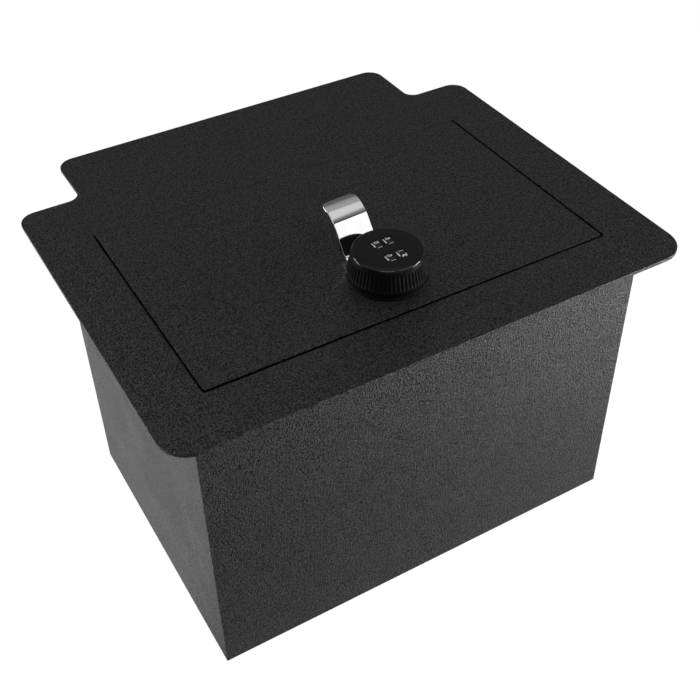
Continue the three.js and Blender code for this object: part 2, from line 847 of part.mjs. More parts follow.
// Lid and what is clamped in it, about the knob's axis at the lid's top face
const lid = group(safe, 0, lockY, boxHeight);
piece(lid, "lid_panel", lidPanel(), coat);
const lidHinge = group(lid, 0, pinY - lockY, pinZ - boxHeight);
piece(lidHinge, "hinge_lid_leaf", hingeLeaf(lidLeafWidth, 0, 1), plainSteel);
piece(lid, "finger_pull", fingerPull(), brightSteel);
piece(lid, "lock_body", lockBody(), glossBlack);
const nutTop = lockWasherUnder - seatGap;
const barrelPass = barrelDiameter / 2 + holeGap;
const lockWasher = ring(lockWasherDiameter / 2, barrelPass, lockWasherUnder, lidUnder - seatGap);
piece(lid, "lock_washer", lockWasher, plainSteel);
piece(lid, "lock_nut", nut(lockNutFlats, barrelPass, nutTop - lockNutHeight, nutTop), plainSteel);

// Knob, which turns in the lock body with its wheels and the cam
const knob = group(lid, 0, 0, 0);
piece(knob, "knob_cap", knobCap(), glossBlack);
piece(knob, "knob_core", knobCore(), dieCast);
piece(knob, "knob_screw_left", knobScrew(), plainSteel).position.x = -screwOffset;
piece(knob, "knob_screw_right", knobScrew(), plainSteel).position.x = screwOffset;
piece(knob, "wheel_frame", wheelFrame(), dieCast).position.x = wheelShift;
piece(knob, "stop_washer", stopWasher(), plainSteel);
piece(knob, "cam", cam(), plainSteel);
const studPass = studDiameter / 2 + holeGap;
const camWasher = ring(camWasherDiameter / 2, studPass, camWasherUnder, camUnder - seatGap);
piece(knob, "cam_washer", camWasher, plainSteel);
piece(knob, "cam_nut", nut(camNutFlats, studPass, camNutUnder, camNutTop), plainSteel);

// Axles and number wheels, front row first
const axleEnd = frameEnd + frameEndWidth + axleOverhang;
["front", "rear"].forEach((row, i) => {
  const axle = alongX(circle(0, 0, axleDiameter / 2), -axleEnd, axleEnd);
  const y = (2 * i - 1) * axleOffset;
  piece(knob, `wheel_axle_${row}`, axle, plainSteel).position.set(wheelShift, y, axleLevel);
});
wheelPlaces().forEach(([x, y], i) => {
  const wheel = group(knob, x, y, axleLevel);
  piece(wheel, `number_wheel_${i + 1}`, numberWheel(), glossBlack);
});

export default safe;
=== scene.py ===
import bmesh
import bpy
import numpy as np
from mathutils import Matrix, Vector


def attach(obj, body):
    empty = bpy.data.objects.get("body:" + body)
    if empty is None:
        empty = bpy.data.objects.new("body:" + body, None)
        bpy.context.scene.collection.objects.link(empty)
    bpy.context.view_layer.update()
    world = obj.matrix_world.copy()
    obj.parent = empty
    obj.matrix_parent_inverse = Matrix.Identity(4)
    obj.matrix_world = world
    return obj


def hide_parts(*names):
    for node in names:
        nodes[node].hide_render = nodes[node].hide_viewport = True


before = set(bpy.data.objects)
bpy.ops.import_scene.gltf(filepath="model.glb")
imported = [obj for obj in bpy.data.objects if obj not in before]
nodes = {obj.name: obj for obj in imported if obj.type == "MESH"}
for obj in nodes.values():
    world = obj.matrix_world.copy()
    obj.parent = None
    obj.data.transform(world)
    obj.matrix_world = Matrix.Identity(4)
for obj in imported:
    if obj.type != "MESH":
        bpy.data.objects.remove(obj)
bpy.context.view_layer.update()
scene = bpy.context.scene
scene.view_settings.view_transform = "Standard"

# Camera: it stands in front and to the left of the safe and looks down on the lid. Its place and
# its slight tilt come from the straight edges of the plate, the lid and the box.
camera = bpy.data.objects.new("camera", bpy.data.cameras.new("camera"))
camera.data.lens = 55.907
camera.data.shift_x = 0.0108
camera.data.shift_y = -0.0233
camera.location = (-0.30186, -0.56422, 0.68237)
camera.rotation_euler = np.radians((49.0956, 1.0493, -30.0165))
scene.collection.objects.link(camera)
scene.camera = camera


# Welded box: front, rear, side and floor panels of steel sheet, dressed flush at the corners and
# powder coated with the channel and the rest bars. The coat is a black film that dries in fine
# ridges and pits, a little under a millimetre across.
COAT_DARK = (0.002, 0.002, 0.0021, 1)
COAT_LIGHT = (0.015, 0.015, 0.0153, 1)
COAT_RIDGES_PER_METRE = 900
COAT_CLOUDS_PER_METRE = 26
COAT_RELIEF = 0.0012


def new_material(name):
    """A material with its node tree and its surface shader."""
    material = bpy.data.materials.new(name)
    material.use_nodes = True
    return material, material.node_tree, material.node_tree.nodes["Principled BSDF"]


def add_node(tree, kind, **settings):
    """A node of that kind; a setting with a capital letter goes to the socket of that name."""
    node = tree.nodes.new(kind)
    for key, value in settings.items():
        if key[0].isupper():
            node.inputs[key.replace("_", " ")].default_value = value
        else:
            setattr(node, key, value)
    return node


def ramp(tree, source, stops):
    """A colour ramp on a value, from pairs of position and colour."""
    node = tree.nodes.new("ShaderNodeValToRGB")
    marks = node.color_ramp.elements
    while len(marks) < len(stops):
        marks.new(0.5)
    for mark, (position, colour) in zip(marks, stops):
        mark.position = position
        mark.color = colour if hasattr(colour, "__len__") else (colour, colour, colour, 1)
    tree.links.new(source, node.inputs[0])
    return node.outputs[0]


def mottle(tree, per_metre, detail, **settings):
    """Noise at the object's own coordinates, with that many blots to the metre."""
    noise = add_node(tree, "ShaderNodeTexNoise", Scale=per_metre, Detail=detail, **settings)
    place = add_node(tree, "ShaderNodeTexCoord").outputs["Object"]
    tree.links.new(place, noise.inputs["Vector"])
    return noise.outputs["Fac"]


def powder_coat():
    """Ridges and pits share one noise, which sets the colour, the relief and the sheen; a cloudy
    one varies the roughness."""
    material, tree, shader = new_material("powder_coat")
    link = tree.links.new
    ridges = mottle(tree, COAT_RIDGES_PER_METRE, 2, Roughness=0.6, Distortion=0.6)
    cloud = mottle(tree, COAT_CLOUDS_PER_METRE, 2)
    colour = ramp(tree, ridges, [(0.44, COAT_DARK), (0.58, COAT_LIGHT)])
    link(colour, shader.inputs["Base Color"])
    link(ramp(tree, cloud, [(0.3, 0.3), (0.7, 0.36)]), shader.inputs["Roughness"])
    bump = add_node(tree, "ShaderNodeBump", Strength=1, Distance=COAT_RELIEF)
    link(ridges, bump.inputs["Height"])
    link(bump.outputs["Normal"], shader.inputs["Normal"])
    sheen = ramp(tree, ridges, [(0.43, 0.16), (0.57, 0.84)])
    link(sheen, shader.inputs["Specular IOR Level"])
    return material


def dress(names, material):
    """CAD nodes that keep their own mesh take a material in their only slot."""
    for name in names:
        nodes[name].data.materials.clear()
        nodes[name].data.materials.append(material)


coat = powder_coat()
coated_parts = [
    "front_panel",
    "rear_panel",
    "left_panel",
    "right_panel",
    "floor_panel",
    "hinge_channel",
    "lid_rest_front",
    "lid_rest_left",
    "lid_rest_right",
]
dress(coated_parts, coat)


# Reliefs above and below the tabs in the two right corners: each is closed by a near-black block, a
# hair under the faces, which is painted shade for the shadow in the open notch. The sizes from here
# on are in millimetres.
MM = 0.001
PANEL_SIDE = 167
PANEL_FRONT = -142
PANEL_REAR = 91
WALL = 2.7
RELIEF_WIDTH = 1.2
RELIEF_HEIGHT = 3.3
TAB_LEVEL = 149
TAB_HALF = 3.27
FILL_SINK = 0.1
FILL_GAP = 0.02
CREASE = np.radians(35)
MERGED = 1e-7


def coat_fill(name, low, high):
    """Dull coat whose tone lies between the two: painted shade where it is dark, painted light
    where it is pale.
    """
    material, tree, shader = new_material(name)
    tone = ramp(tree, mottle(tree, COAT_RIDGES_PER_METRE, 2), [(0.3, low), (0.7, high)])
    tree.links.new(tone, shader.inputs["Base Color"])
    shader.inputs["Roughness"].default_value = 0.9
    shader.inputs["Specular IOR Level"].default_value = 0.05
    return material


def surface(name, points, closed_across=True, closed_along=True, **how):
    """A smooth mesh from points[along, across], in millimetres: neighbours make quads, and a closed
    direction joins its last row to its first."""
    along, across = points.shape[:2]
    index = np.arange(along * across).reshape(along, across)
    if closed_along:
        index = np.concatenate([index, index[:1]], 0)
    if closed_across:
        index = np.concatenate([index, index[:, :1]], 1)
    quads = np.stack([index[:-1, :-1], index[1:, :-1], index[1:, 1:], index[:-1, 1:]], -1)
    mesh = bpy.data.meshes.new(name)
    mesh.from_pydata((points.reshape(-1, 3) * MM).tolist(), [], quads.reshape(-1, 4).tolist())
    return finished(name, mesh, **how)


def finished(name, mesh, material, body, replaces=(), slot=None):
    """The piece made of a mesh: doubles merged, faces turned outwards, smooth, and on its body."""
    work = bmesh.new()
    work.from_mesh(mesh)
    bmesh.ops.remove_doubles(work, verts=work.verts, dist=MERGED)
    bmesh.ops.dissolve_degenerate(work, edges=work.edges, dist=MERGED / 10)
    bmesh.ops.recalc_face_normals(work, faces=work.faces)
    work.to_mesh(mesh)
    work.free()
    mesh.polygons.foreach_set("use_smooth", np.ones(len(mesh.polygons), bool))
    made = bpy.data.objects.new(name, mesh)
    scene.collection.objects.link(made)
    mesh.materials.append(material)
    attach(made, body)
    if replaces:
        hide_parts(*replaces)
    return made


def block(name, low, high, **how):
    """A plain block between two corners."""
    (x0, y0, z0), (x1, y1, z1) = low, high
    section = np.array([(x0, y0), (x1, y0), (x1, y1), (x0, y1)])
    rows = [np.column_stack([section, np.full(4, z)]) for z in (z0, z1)]
    ends = [np.tile(row.mean(0), (4, 1)) for row in rows]
    made = surface(name, np.stack([ends[0], *rows, ends[1]], 0), closed_along=False, **how)
    made.data.set_sharp_from_angle(angle=CREASE)
    return made


# Painted shade: a near-black dull coat for the relief blocks and for the walls of the lid's gap
painted_shade = coat_fill("coat_fill", 0.001, 0.004)
for corner, y0, y1 in (
    ("front", PANEL_FRONT + FILL_SINK, PANEL_FRONT + WALL - FILL_GAP),
    ("rear", PANEL_REAR - WALL + FILL_GAP, PANEL_REAR - FILL_SINK),
):
    for level, foot in (
        ("upper", TAB_LEVEL + TAB_HALF),
        ("lower", TAB_LEVEL - TAB_HALF - RELIEF_HEIGHT),
    ):
        block(
            f"relief_painted_shade_{corner}_{level}",
            (PANEL_SIDE - RELIEF_WIDTH + FILL_GAP, y0, foot + FILL_GAP),
            (PANEL_SIDE - FILL_SINK, y1, foot + RELIEF_HEIGHT - FILL_GAP),
            material=painted_shade,
            body="box",
        )


# Top plate: one sheet of 12 gauge steel, cut by laser with its narrower tongue, round corners and
# the lid's opening. The coat has rolled over its edges, so they are a little round.
PLATE_UNDER = 239.3
PLATE_TOP = 242.0
PLATE_EDGE = 0.35
PLATE_SIDE = 190
PLATE_END = 166
WING_REAR = 110
TONGUE_SIDE = 142
FRONT_CORNER = 21
REAR_CORNER = 12.5
NOTCH_CORNER = 9
OPENING_SIDE = 151
OPENING_FRONT = -124
OPENING_REAR = 61
OPENING_CORNER = 3
CORNER_STEPS = 14


def path(corners):
    """A closed line round corners of x, y and radius, with an arc in each that meets both sides."""
    corners = np.array(corners, float)
    points = []
    for i, (x, y, radius) in enumerate(corners):
        corner = np.array([x, y])
        back = corners[i - 1, :2] - corner
        ahead = corners[(i + 1) % len(corners), :2] - corner
        back /= np.linalg.norm(back)
        ahead /= np.linalg.norm(ahead)
        half = np.arccos(np.clip(back @ ahead, -1, 1)) / 2
        centre = corner + (back + ahead) / np.linalg.norm(back + ahead) * radius / np.sin(half)
        first = corner + back * radius / np.tan(half) - centre
        last = corner + ahead * radius / np.tan(half) - centre
        start = np.arctan2(first[1], first[0])
        turn = (np.arctan2(last[1], last[0]) - start + np.pi) % (2 * np.pi) - np.pi
        angles = start + turn * np.linspace(0, 1, CORNER_STEPS + 1)
        points.append(centre + radius * np.stack([np.cos(angles), np.sin(angles)], 1))
    return np.concatenate(points)


def meet(line, middle, bearings):
    """Where rays from the middle at the bearings cross a closed line that goes round it once. The
    share of a side before its crossing is the ray's cross product with the side's start, over that
    less the cross product with its end."""
    line = line - middle
    own = np.unwrap(np.arctan2(line[:, 1], line[:, 0]))
    shift = np.floor((bearings - own[0]) / (2 * np.pi)) * 2 * np.pi
    side = np.searchsorted(own, bearings - shift, side="right") - 1
    start = line[side]
    end = line[(side + 1) % len(line)]
    ray = np.stack([np.cos(bearings), np.sin(bearings)], 1)
    at_start = ray[:, 0] * start[:, 1] - ray[:, 1] * start[:, 0]
    at_end = ray[:, 0] * end[:, 1] - ray[:, 1] * end[:, 0]
    share = at_start / (at_start - at_end)
    return middle + start + (end - start) * share[:, None]


def outward(line):
    """Unit normals of a closed line that runs to the left, from the sum of the two sides' ones."""
    side = np.roll(line, -1, 0) - line
    side /= np.linalg.norm(side, axis=1)[:, None]
    normal = np.stack([side[:, 1], -side[:, 0]], 1)
    normal = normal + np.roll(normal, 1, 0)
    return normal / np.linalg.norm(normal, axis=1)[:, None]


def rolled_edge(edge):
    """Inset and drop of a rounded edge, from the flat face to the side: a quarter circle with one
    more point on each flat, which keeps the shading of the flats even."""
    angle = np.linspace(0, np.pi / 2, 5)
    inset = np.concatenate([[edge + 0.3], edge * (1 - np.sin(angle)), [0]])
    drop = np.concatenate([[0], edge * (1 - np.cos(angle)), [edge + 0.3]])
    return inset, drop


def sheet(name, outer, hole, under, top, edge, **how):
    """A flat sheet with a hole, as one closed band: its section goes from the hole's wall over the
    top face to the outer wall and back under, with every edge rounded."""
    middle = hole.mean(0)
    spokes = np.concatenate([outer, hole]) - middle
    bearings = np.unique(np.round(np.arctan2(spokes[:, 1], spokes[:, 0]), 6))
    outer = meet(outer, middle, bearings)
    hole = meet(hole, middle, bearings)
    inset, drop = rolled_edge(edge)
    section = [(i, top - d) for i, d in zip(inset, drop)]
    section += [(i, under + d) for i, d in zip(inset[::-1], drop[::-1])]
    rows = []
    for line, normal, ring in (
        (hole, -outward(hole), section[::-1]),
        (outer, outward(outer), section),
    ):
        rows += [np.column_stack([line - normal * i, np.full(len(line), z)]) for i, z in ring]
    return surface(name, np.stack(rows, 1), **how)


plate_edge = path(
    [
        (-PLATE_SIDE, -PLATE_END, FRONT_CORNER),
        (PLATE_SIDE, -PLATE_END, FRONT_CORNER),
        (PLATE_SIDE, WING_REAR, REAR_CORNER),
        (TONGUE_SIDE, WING_REAR, NOTCH_CORNER),
        (TONGUE_SIDE, PLATE_END, REAR_CORNER),
        (-TONGUE_SIDE, PLATE_END, REAR_CORNER),
        (-TONGUE_SIDE, WING_REAR, NOTCH_CORNER),
        (-PLATE_SIDE, WING_REAR, REAR_CORNER),
    ]
)
opening_edge = path(
    [
        (-OPENING_SIDE, OPENING_FRONT, OPENING_CORNER),
        (OPENING_SIDE, OPENING_FRONT, OPENING_CORNER),
        (OPENING_SIDE, OPENING_REAR, OPENING_CORNER),
        (-OPENING_SIDE, OPENING_REAR, OPENING_CORNER),
    ]
)
plate = sheet(
    "plate",
    plate_edge,
    opening_edge,
    PLATE_UNDER,
    PLATE_TOP,
    PLATE_EDGE,
    material=coat,
    body="box",
    replaces=["top_plate"],
    slot="powder_coat",
)


def dull_walls(piece):
    """Cut walls in the gap round the lid take the near-black coat, painted shade for the shadow in
    the narrow gap. The rear wall of the opening takes a paler coat, painted light for the light
    that reaches it, so the rear gap hardly shows."""
    mesh = piece.data
    middle = np.zeros(len(mesh.polygons) * 3, np.float32)
    normal = np.zeros(len(mesh.polygons) * 3, np.float32)
    mesh.polygons.foreach_get("center", middle)
    mesh.polygons.foreach_get("normal", normal)
    middle, normal = middle.reshape(-1, 3), normal.reshape(-1, 3)
    x, y = middle[:, 0] / MM, middle[:, 1] / MM
    beside = np.abs(x) < OPENING_SIDE + 1
    near = beside & (y > OPENING_FRONT - 1) & (y < OPENING_REAR - 0.5)
    rear = beside & (np.abs(y - OPENING_REAR) < 0.5)
    upright = np.abs(normal[:, 2]) < 0.5
    mesh.materials.append(painted_shade)
    mesh.materials.append(painted_light)
    # Slot 1 is painted shade on the gap walls, slot 2 painted light on the opening's rear wall
    mesh.polygons.foreach_set("material_index", (upright * (near + 2 * rear)).astype(np.int32))


# Painted light: a paler dull coat that makes the opening's rear wall look lit
painted_light = coat_fill("painted_light_coat", 0.06, 0.09)
dull_walls(plate)


# Lid: the blank from the plate's opening, with a gap of 1.5 mm all round, which is a little wider
# at the left end of the front, and the hole for the lock's barrel. Same coat and rolled edges.
LID_GAP = 1.5
LID_LEFT_EXTRA = 0.6
LID_CORNER = 2
LOCK_Y = -85
BARREL_HOLE_RADIUS = 11.3
BARREL_HOLE_FLAT = 10.3
lid_side = OPENING_SIDE - LID_GAP
lid_edge = path(
    [
        (-lid_side, OPENING_FRONT + LID_GAP + LID_LEFT_EXTRA, LID_CORNER),
        (lid_side, OPENING_FRONT + LID_GAP, LID_CORNER),
        (lid_side, OPENING_REAR - LID_GAP, LID_CORNER),
        (-lid_side, OPENING_REAR - LID_GAP, LID_CORNER),
    ]
)
hole_angle = np.linspace(0, 2 * np.pi, 97)[:-1]
hole_x = np.clip(BARREL_HOLE_RADIUS * np.cos(hole_angle), -BARREL_HOLE_FLAT, BARREL_HOLE_FLAT)
hole_y = LOCK_Y + BARREL_HOLE_RADIUS * np.sin(hole_angle)
barrel_hole = np.stack([hole_x, hole_y], 1)
lid = sheet(
    "lid",
    lid_edge,
    barrel_hole,
    PLATE_UNDER,
    PLATE_TOP,
    PLATE_EDGE,
    material=coat,
    body="lid",
    replaces=["lid_panel"],
    slot="powder_coat",
)
dull_walls(lid)


# Piano hinge and the small parts of the lock: zinc-plated steel with faint clouds, which are a
# quarter darker than the rest. The knob's core and the wheels' frame are plain castings.
def plated_steel(name, colour, rough_low, rough_high):
    material, tree, shader = new_material(name)
    link = tree.links.new
    cloud = mottle(tree, 160, 4, Roughness=0.6)
    dark = [tone * 0.75 for tone in colour]
    link(ramp(tree, cloud, [(0.3, (*dark, 1)), (0.7, (*colour, 1))]), shader.inputs["Base Color"])
    link(ramp(tree, cloud, [(0.3, rough_low), (0.7, rough_high)]), shader.inputs["Roughness"])
    shader.inputs["Metallic"].default_value = 1
    return material


zinc_parts = [
    "hinge_fixed_leaf",
    "hinge_lid_leaf",
    "hinge_pin",
    "lock_washer",
    "lock_nut",
    "knob_screw_left",
    "knob_screw_right",
    "stop_washer",
    "cam",
    "cam_washer",
    "cam_nut",
    "wheel_axle_front",
    "wheel_axle_rear",
] + [f"hinge_rivet_{i}" for i in range(1, 6)]
dress(zinc_parts, plated_steel("zinc_plate", (0.62, 0.63, 0.64), 0.28, 0.42))
dress(["knob_core", "wheel_frame"], plated_steel("die_casting", (0.45, 0.46, 0.47), 0.45, 0.6))


# Finger pull: a strip of mirror-bright steel, clamped a little off square. Its foot goes under the
# bezel, and the strip bends up, leans back and curls over to a straight lip with round corners.
PULL_HALF = 13.3
PULL_THICK = 1.5
PULL_EDGE = 0.35
PULL_CORNER = 4
PULL_TURN = 2.7
PULL_START = (LOCK_Y + 12.5, PLATE_TOP + 0.3)
PULL_BENDS = [(16.4, 0, 0), (0, 54, 4.5), (18.4, 0, 0), (0, -49, 20.4), (3, 0, 0)]
STEEL_DARK = (0.66, 0.665, 0.67, 1)
STEEL_LIGHT = (0.72, 0.72, 0.725, 1)


def bright_steel():
    """Polished steel with a faint haze."""
    material, tree, shader = new_material("bright_steel")
    link = tree.links.new
    haze = mottle(tree, 90, 3)
    link(ramp(tree, haze, [(0.3, STEEL_DARK), (0.7, STEEL_LIGHT)]), shader.inputs["Base Color"])
    link(ramp(tree, haze, [(0.35, 0.03), (0.7, 0.06)]), shader.inputs["Roughness"])
    shader.inputs["Metallic"].default_value = 1
    return material


def bent_line(runs, start, step=1.5):
    """Points and headings along a line of straights and arcs: each run is a length, a turn in
    degrees and the radius of that turn, and an arc is sampled every so many degrees."""
    points, headings = [np.array(start, float)], [0.0]
    for ahead, turn, radius in runs:
        first, base = headings[-1], points[-1]
        if ahead:
            direction = np.array([np.cos(first), np.sin(first)])
            shares = np.array([0.03, 0.97, 1])
            points.extend(base + direction * ahead * shares[:, None])
            headings.extend([first] * len(shares))
        else:
            sign = np.sign(turn)
            centre = base + np.array([-np.sin(first), np.cos(first)]) * sign * radius
            count = int(np.ceil(abs(turn) / step))
            angles = first + np.radians(turn) * np.arange(1, count + 1) / count
            points.extend(centre + np.stack([np.sin(angles), -np.cos(angles)], 1) * sign * radius)
            headings.extend(angles)
    return np.array(points), np.array(headings)


def turned_plan(points, degrees):
    """Points turned about the lock's axis, anticlockwise from above."""
    cosine, sine = np.cos(np.radians(degrees)), np.sin(np.radians(degrees))
    x, y = points[..., 0], points[..., 1] - LOCK_Y
    turned = points.copy()
    turned[..., 0] = x * cosine - y * sine
    turned[..., 1] = x * sine + y * cosine + LOCK_Y
    return turned


def rounded_strip(name, line, headings, half_width, **how):
    """A strip that follows a line in the y-z plane: its section, a rectangle with round edges, is
    set across the line's heading at each point and made narrower where the half width is less."""
    normal = np.stack([-np.sin(headings), np.cos(headings)], 1)
    angle = np.linspace(0, np.pi / 2, 5)
    corner_x = PULL_EDGE * (np.sin(angle) - 1)
    corner_t = PULL_EDGE * (1 - np.cos(angle))
    # From the middle of one face round the edge to the middle of the other
    inner = [-PULL_EDGE - 0.4]
    across = np.concatenate([inner, corner_x, corner_x[::-1], inner])
    depth = np.concatenate([[0], corner_t, PULL_THICK - corner_t[::-1], [PULL_THICK]])
    x = half_width[:, None] + across[None, :]
    x = np.concatenate([x, -x[:, ::-1]], 1)
    depth = np.concatenate([depth, depth[::-1]])
    place = line[:, None, :] + normal[:, None, :] * depth[None, :, None]
    points = np.concatenate([x[..., None], place], 2)
    first = np.broadcast_to(points[0].mean(0), points[:1].shape)
    last = np.broadcast_to(points[-1].mean(0), points[-1:].shape)
    points = turned_plan(np.concatenate([first, points, last], 0), PULL_TURN)
    return surface(name, points, closed_along=False, **how)


pull_line, pull_headings = bent_line(PULL_BENDS, PULL_START)
reach = np.concatenate([[0], np.cumsum(np.linalg.norm(np.diff(pull_line, axis=0), axis=1))])
# More rows at the round corners of the lip
corner_rows = reach[-1] - PULL_CORNER * (1 - np.cos(np.linspace(np.pi / 2, 0.05, 12)))
samples = np.unique(np.concatenate([reach, corner_rows]))
pull_line = np.stack([np.interp(samples, reach, pull_line[:, i]) for i in (0, 1)], 1)
pull_headings = np.interp(samples, reach, pull_headings)
into_corner = np.clip(PULL_CORNER - (samples[-1] - samples), 0, PULL_CORNER)
pull_half = PULL_HALF - PULL_CORNER + np.sqrt(PULL_CORNER**2 - into_corner**2)
rounded_strip(
    "pull",
    pull_line,
    pull_headings,
    pull_half,
    material=bright_steel(),
    body="lid",
    replaces=["finger_pull"],
    slot="bright_steel",
)


# Lock body: a satin black casting. Its bezel sits on the lid over the pull's foot, and its barrel
# goes down through the lid.
BLACK_DARK = (0.0045, 0.0045, 0.0048, 1)
BLACK_LIGHT = (0.008, 0.008, 0.0083, 1)


def mottled_black(name, grain):
    """Black with a faint grain: the material with its tree and shader, and the grain itself."""
    material, tree, shader = new_material(name)
    fine = mottle(tree, grain, 3)
    colour = ramp(tree, fine, [(0.3, BLACK_DARK), (0.7, BLACK_LIGHT)])
    tree.links.new(colour, shader.inputs["Base Color"])
    return material, tree, shader, fine


def satin_black(name, rough_low, rough_high, grain, sheen=0.5):
    """Black whose roughness follows its grain."""
    material, tree, shader, fine = mottled_black(name, grain)
    rough = ramp(tree, fine, [(0.3, rough_low), (0.7, rough_high)])
    tree.links.new(rough, shader.inputs["Roughness"])
    shader.inputs["Specular IOR Level"].default_value = sheen
    return material


dress(["lock_body"], satin_black("lock_body_black", 0.5, 0.6, 300, sheen=0.12))


# Knob cap: moulded in black, gloss on top and satin round the side. It tapers from a plain skirt
# up to a flat top, with a band of sixty ribs, and four windows in the top show the number wheels.
KNOB_BASE = PLATE_TOP + 3.1
KNOB_TOP = PLATE_TOP + 21.8
KNOB_RADIUS = 27
KNOB_WALL = 6
KNOB_ROOF = 2.2
KNOB_TOP_RADIUS = 23.9
KNOB_EDGE = 1.0
KNOB_SHOULDER = 3
RIBS = 60
RIB_FOOT = PLATE_TOP + 6.5
RIB_TOP = PLATE_TOP + 17.5
RIB_DEPTH = 0.6
WHEEL_SHIFT = 1.7
WHEEL_X = 4.3
WHEEL_Y = 8.2
AXLE_Z = PLATE_TOP + 14.5
WINDOW_LENGTH = 8
WINDOW_WIDTH = 5.6
WINDOW_CUT = 6
WHEEL_RADIUS = 7.5
WHEEL_ROOM = 0.3


def knob_surface(name, **how):
    """A turned shell whose radius is the profile's, less the rib depth times a raised cosine of
    sixty times the angle; the grooves between the ribs run out at both ends of their band."""
    angle = np.linspace(0, 2 * np.pi, RIBS * 8 + 1)[:-1]
    edge_z = KNOB_TOP - KNOB_EDGE
    runout = np.linspace(0, 1, 5)
    middle_z = np.linspace(RIB_FOOT, RIB_TOP, 5)[1:-1]
    side_z = np.concatenate(
        [RIB_FOOT + runout, middle_z, RIB_TOP - 1 + runout, [RIB_TOP + 0.3, edge_z - 0.3]]
    )
    side_r = np.interp(side_z, [RIB_FOOT, edge_z], [KNOB_RADIUS, KNOB_TOP_RADIUS])
    roll = np.linspace(0, np.pi / 2, 7)
    roll_z = edge_z + KNOB_EDGE * np.sin(roll)
    roll_r = KNOB_TOP_RADIUS - KNOB_EDGE * (1 - np.cos(roll))
    skirt_z = np.append(KNOB_BASE + np.array([0, 0.1, 0.3, 0.6]), RIB_FOOT - 0.4)
    skirt_r = KNOB_RADIUS - np.array([0.5, 0.2, 0.05, 0, 0])
    inner = KNOB_RADIUS - KNOB_WALL
    roof = KNOB_TOP - KNOB_ROOF
    top_r = [KNOB_TOP_RADIUS - KNOB_EDGE, 14, 0]
    profile_r = [[0, inner, inner], skirt_r, side_r, roll_r, top_r]
    profile_z = [[roof, roof, KNOB_BASE], skirt_z, side_z, roll_z, [KNOB_TOP] * 3]
    profile_r, profile_z = np.concatenate(profile_r), np.concatenate(profile_z)
    into_band = np.minimum(profile_z - RIB_FOOT, RIB_TOP - profile_z)
    depth = RIB_DEPTH * np.sqrt(np.clip(into_band, 0, 1)) * (profile_r > inner)
    groove = (0.5 + 0.5 * np.cos(RIBS * angle)) ** 0.8
    radius = profile_r[None, :] - depth[None, :] * groove[:, None]
    points = np.stack(
        [
            radius * np.cos(angle)[:, None],
            LOCK_Y + radius * np.sin(angle)[:, None],
            np.broadcast_to(profile_z, radius.shape),
        ],
        2,
    )
    return surface(name, points, closed_across=False, **how)


def cap_plastic():
    """Gloss black on the flat top and its rolled edge, satin on the ribbed side below them: the
    height within the shoulder sets roughness and sheen."""
    material, tree, shader, _ = mottled_black("knob_black", 500)
    link = tree.links.new
    place = add_node(tree, "ShaderNodeSeparateXYZ")
    link(add_node(tree, "ShaderNodeTexCoord").outputs["Object"], place.inputs[0])
    foot = (KNOB_TOP - KNOB_SHOULDER) * MM
    head = (KNOB_TOP - KNOB_EDGE) * MM
    height = add_node(tree, "ShaderNodeMapRange", From_Min=foot, From_Max=head)
    link(place.outputs["Z"], height.inputs["Value"])
    rough = ramp(tree, height.outputs["Result"], [(0.55, 0.5), (0.85, 0.05)])
    link(rough, shader.inputs["Roughness"])
    sheen = ramp(tree, height.outputs["Result"], [(0.55, 0.07), (0.85, 0.55)])
    link(sheen, shader.inputs["Specular IOR Level"])
    return material


cap = knob_surface(
    "knob", material=cap_plastic(), body="knob", replaces=["knob_cap"], slot="gloss_black"
)
wheel_places = [(WHEEL_SHIFT + x, y) for y in (-WHEEL_Y, WHEEL_Y) for x in (-WHEEL_X, WHEEL_X)]
cutters = []
for x, y in wheel_places:
    # The window itself, and under it the room in which the wheel turns
    bpy.ops.mesh.primitive_cube_add(size=1, location=(x * MM, (LOCK_Y + y) * MM, KNOB_TOP * MM))
    bpy.context.object.scale = (WINDOW_WIDTH * MM, WINDOW_LENGTH * MM, WINDOW_CUT * MM)
    cutters.append(bpy.context.object)
    bpy.ops.mesh.primitive_cylinder_add(
        vertices=64,
        radius=(WHEEL_RADIUS + WHEEL_ROOM) * MM,
        depth=WINDOW_WIDTH * MM,
        location=(x * MM, (LOCK_Y + y) * MM, AXLE_Z * MM),
        rotation=(0, np.pi / 2, 0),
    )
    cutters.append(bpy.context.object)
bpy.context.view_layer.update()
for cutter in cutters:
    cutting = cap.modifiers.new("window", "BOOLEAN")
    cutting.object = cutter
    cutting.operation = "DIFFERENCE"
    cutting.solver = "EXACT"
bpy.context.view_layer.update()
cut_mesh = bpy.data.meshes.new_from_object(cap.evaluated_get(bpy.context.evaluated_depsgraph_get()))
cap.modifiers.clear()
cap.data = cut_mesh
for cutter in cutters:
    bpy.data.objects.remove(cutter)
cut_mesh.set_sharp_from_angle(angle=CREASE)


# Number wheels: four black wheels, each with the numbers 0 to 7 printed in white round its rim.
# The numerals lie on their sides; three wheels show 0 and 1, and one has been turned on to 1 and 2.
WHEEL_TURNS = (17, 67, 17, 17)
WHEEL_HALF = 2.5
WHEEL_EDGE = 0.3
WHEEL_BORE = 1.15
NUMERALS = 8
NUMERAL_SIZE = 4.8
NUMERAL_STROKE = 0.09
NUMERAL_RELIEF = 0.03
NUMERAL_SEAT = 0.02
NUMERAL_STRETCH = 1.45
STRIP_CUTS = np.arange(-2.13, 2.1, 0.25)
wheel_black = satin_black("wheel_black", 0.3, 0.42, 700)


